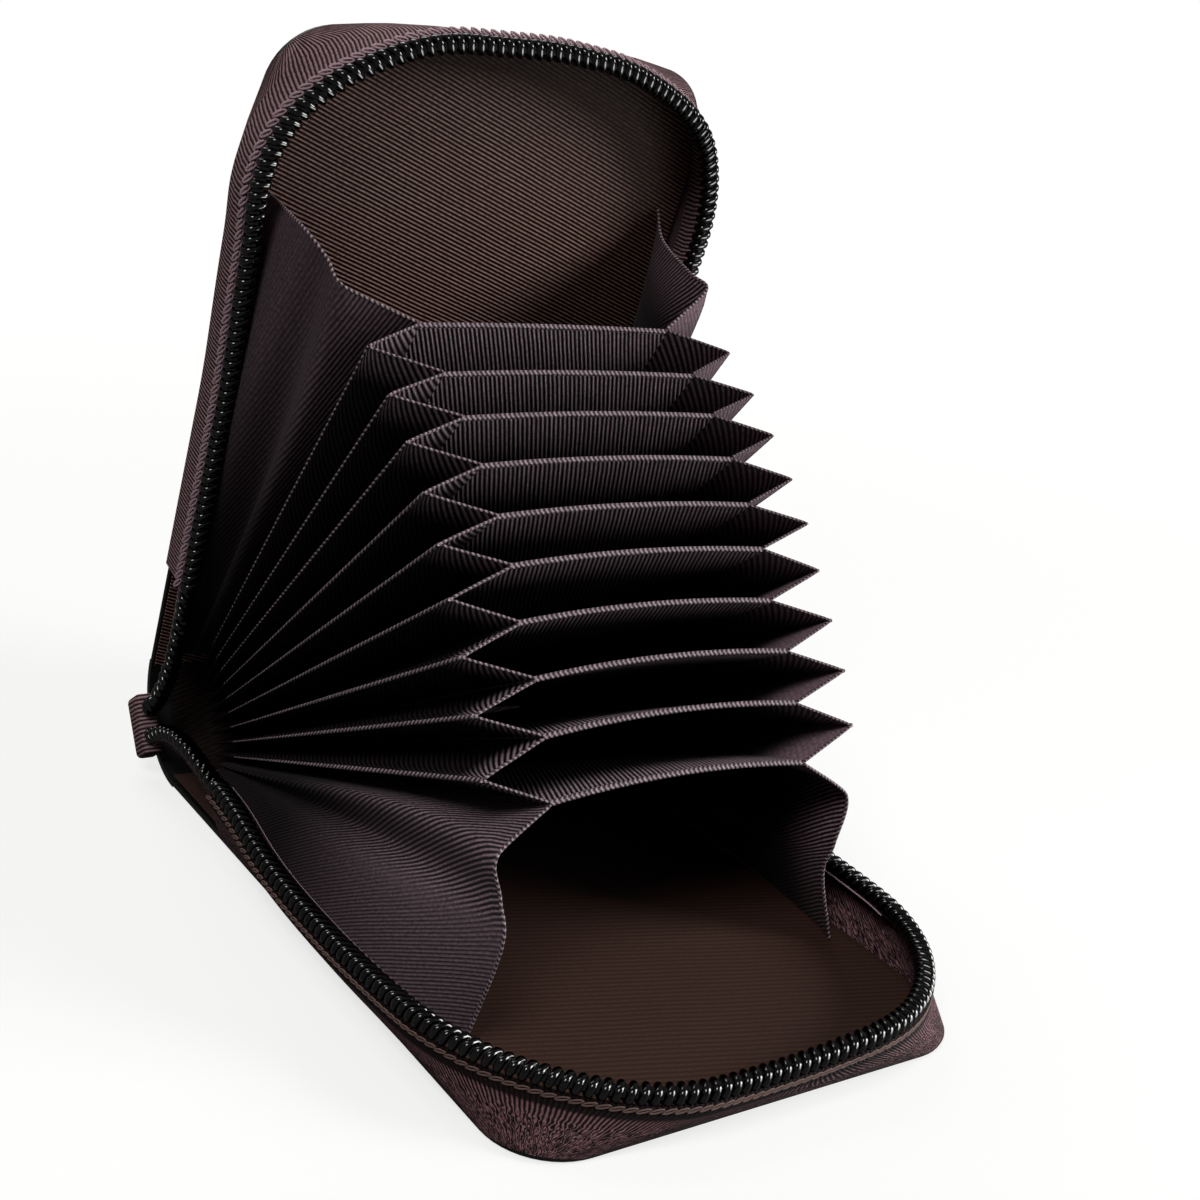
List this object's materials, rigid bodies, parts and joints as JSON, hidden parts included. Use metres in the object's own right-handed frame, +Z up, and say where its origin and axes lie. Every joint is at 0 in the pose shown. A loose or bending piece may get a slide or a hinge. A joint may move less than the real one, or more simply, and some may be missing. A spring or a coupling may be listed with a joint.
{
  "type": "zip-around accordion card wallet",
  "caption": "Open zip-around card wallet: two leather covers with zip tape walls and a fan of ribbed fabric card pockets with folded side gussets.",
  "frame": {"origin": "middle of the lower cover's underside, which lies on the surface", "axes": "+X along the spine, towards the side away from the zip slider; +Y from the spine to the pocket mouths along the lower cover; +Z up, away from the surface"},
  "size_m": [0.0864, 0.1243, 0.1221],
  "materials": {
    "black_leather": "fine grain",
    "grey_board": "matt board",
    "brown_twill": "satin twill",
    "plum_ribbed_satin": "ribbed satin",
    "plum_zip_tape": "woven tape",
    "black_nylon_coil": "glossy moulded nylon",
    "black_nickel": "polished dark metal"
  },
  "bodies": {
    "lower_cover": {"lower_cover_leather": "black_leather", "lower_board": "grey_board", "lower_lining": "brown_twill", "lower_zip_tape": "plum_zip_tape", "lower_zip_coil": "black_nylon_coil", "lower_left_zip_tail": "black_nylon_coil", "lower_right_zip_tail": "black_nylon_coil", "spine_leather": "black_leather", "spine_lining": "brown_twill", "left_gusset_11": "plum_ribbed_satin", "right_gusset_11": "plum_ribbed_satin"},
    "upper_cover": {"upper_cover_leather": "black_leather", "upper_board": "grey_board", "upper_lining": "brown_twill", "upper_zip_tape": "plum_zip_tape", "upper_zip_coil": "black_nylon_coil", "upper_left_zip_tail": "black_nylon_coil", "upper_right_zip_tail": "black_nylon_coil", "left_gusset_01": "plum_ribbed_satin", "right_gusset_01": "plum_ribbed_satin"},
    "divider_10": {"divider_10": "plum_ribbed_satin", "left_gusset_10": "plum_ribbed_satin", "right_gusset_10": "plum_ribbed_satin"},
    "divider_09": {"divider_09": "plum_ribbed_satin", "left_gusset_09": "plum_ribbed_satin", "right_gusset_09": "plum_ribbed_satin"},
    "divider_08": {"divider_08": "plum_ribbed_satin", "left_gusset_08": "plum_ribbed_satin", "right_gusset_08": "plum_ribbed_satin"},
    "divider_07": {"divider_07": "plum_ribbed_satin", "left_gusset_07": "plum_ribbed_satin", "right_gusset_07": "plum_ribbed_satin"},
    "divider_06": {"divider_06": "plum_ribbed_satin", "left_gusset_06": "plum_ribbed_satin", "right_gusset_06": "plum_ribbed_satin", "left_zip_tab": "plum_zip_tape", "right_zip_tab": "plum_zip_tape"},
    "divider_05": {"divider_05": "plum_ribbed_satin", "left_gusset_05": "plum_ribbed_satin", "right_gusset_05": "plum_ribbed_satin"},
    "divider_04": {"divider_04": "plum_ribbed_satin", "left_gusset_04": "plum_ribbed_satin", "right_gusset_04": "plum_ribbed_satin"},
    "divider_03": {"divider_03": "plum_ribbed_satin", "left_gusset_03": "plum_ribbed_satin", "right_gusset_03": "plum_ribbed_satin"},
    "divider_02": {"divider_02": "plum_ribbed_satin", "left_gusset_02": "plum_ribbed_satin", "right_gusset_02": "plum_ribbed_satin"},
    "divider_01": {"divider_01": "plum_ribbed_satin"},
    "slider": {"slider_body": "black_nickel"},
    "pull": {"pull_tab": "black_nickel"}
  },
  "joints": [
    {"name": "cover_opens", "type": "hinge", "parent": "lower_cover", "child": "divider_10", "pos_m": [0, -0.054, 0.00358], "axis": [1, 0, 0], "range_deg": [-20.1, 7.6], "deforming": ["left_gusset_11", "right_gusset_11", "spine_leather", "spine_lining", "lower_left_zip_tail", "lower_right_zip_tail", "upper_left_zip_tail", "upper_right_zip_tail"]},
    {"name": "pocket_10_opens", "type": "hinge", "parent": "divider_10", "child": "divider_09", "pos_m": [0, -0.05457, 0.00513], "axis": [1, 0, 0], "range_deg": [-4.62, 1.76], "deforming": ["left_gusset_10", "right_gusset_10"]},
    {"name": "pocket_09_opens", "type": "hinge", "parent": "divider_09", "child": "divider_08", "pos_m": [0, -0.05526, 0.00662], "axis": [1, 0, 0], "range_deg": [-3.92, 1.5], "deforming": ["left_gusset_09", "right_gusset_09"]},
    {"name": "pocket_08_opens", "type": "hinge", "parent": "divider_08", "child": "divider_07", "pos_m": [0, -0.05605, 0.00807], "axis": [1, 0, 0], "range_deg": [-4.12, 1.57], "deforming": ["left_gusset_08", "right_gusset_08"]},
    {"name": "pocket_07_opens", "type": "hinge", "parent": "divider_07", "child": "divider_06", "pos_m": [0, -0.05694, 0.00946], "axis": [1, 0, 0], "range_deg": [-4.02, 1.53], "deforming": ["left_gusset_07", "right_gusset_07"]},
    {"name": "pocket_06_opens", "type": "hinge", "parent": "divider_06", "child": "divider_05", "pos_m": [0, -0.05792, 0.01078], "axis": [1, 0, 0], "range_deg": [-3.72, 1.42], "deforming": ["left_gusset_06", "right_gusset_06"]},
    {"name": "pocket_05_opens", "type": "hinge", "parent": "divider_05", "child": "divider_04", "pos_m": [0, -0.05899, 0.01204], "axis": [1, 0, 0], "range_deg": [-4.12, 1.57], "deforming": ["left_gusset_05", "right_gusset_05"]},
    {"name": "pocket_04_opens", "type": "hinge", "parent": "divider_04", "child": "divider_03", "pos_m": [0, -0.06015, 0.01322], "axis": [1, 0, 0], "range_deg": [-4.22, 1.61], "deforming": ["left_gusset_04", "right_gusset_04"]},
    {"name": "pocket_03_opens", "type": "hinge", "parent": "divider_03", "child": "divider_02", "pos_m": [0, -0.06139, 0.01431], "axis": [1, 0, 0], "range_deg": [-4.22, 1.61], "deforming": ["left_gusset_03", "right_gusset_03"]},
    {"name": "pocket_02_opens", "type": "hinge", "parent": "divider_02", "child": "divider_01", "pos_m": [0, -0.0627, 0.0153], "axis": [1, 0, 0], "range_deg": [-5.52, 2.1], "deforming": ["left_gusset_02", "right_gusset_02"]},
    {"name": "pocket_01_opens", "type": "hinge", "parent": "divider_01", "child": "upper_cover", "pos_m": [0, -0.0627, 0.0153], "axis": [1, 0, 0], "range_deg": [-17.82, 6.75], "deforming": ["left_gusset_01", "right_gusset_01"]},
    {"name": "slider_slides", "type": "slide", "parent": "divider_06", "child": "slider", "axis": [0, 0.8018, 0.5976], "range_m": [0, 0.07], "deforming": ["lower_right_zip_tail", "upper_right_zip_tail"]},
    {"name": "pull_swings", "type": "hinge", "parent": "slider", "child": "pull", "pos_m": [-0.0432, -0.05462, 0.01221], "axis": [0, 0.5976, -0.8018], "range_deg": [0, 175]}
  ],
  "couplings": [
    {"joint": "pocket_10_opens", "follows": "cover_opens", "ratio": 0.22886},
    {"joint": "pocket_09_opens", "follows": "cover_opens", "ratio": 0.19403},
    {"joint": "pocket_08_opens", "follows": "cover_opens", "ratio": 0.20398},
    {"joint": "pocket_07_opens", "follows": "cover_opens", "ratio": 0.199},
    {"joint": "pocket_06_opens", "follows": "cover_opens", "ratio": 0.18408},
    {"joint": "pocket_05_opens", "follows": "cover_opens", "ratio": 0.20398},
    {"joint": "pocket_04_opens", "follows": "cover_opens", "ratio": 0.20896},
    {"joint": "pocket_03_opens", "follows": "cover_opens", "ratio": 0.20896},
    {"joint": "pocket_02_opens", "follows": "cover_opens", "ratio": 0.27363},
    {"joint": "pocket_01_opens", "follows": "cover_opens", "ratio": 0.88557}
  ]
}
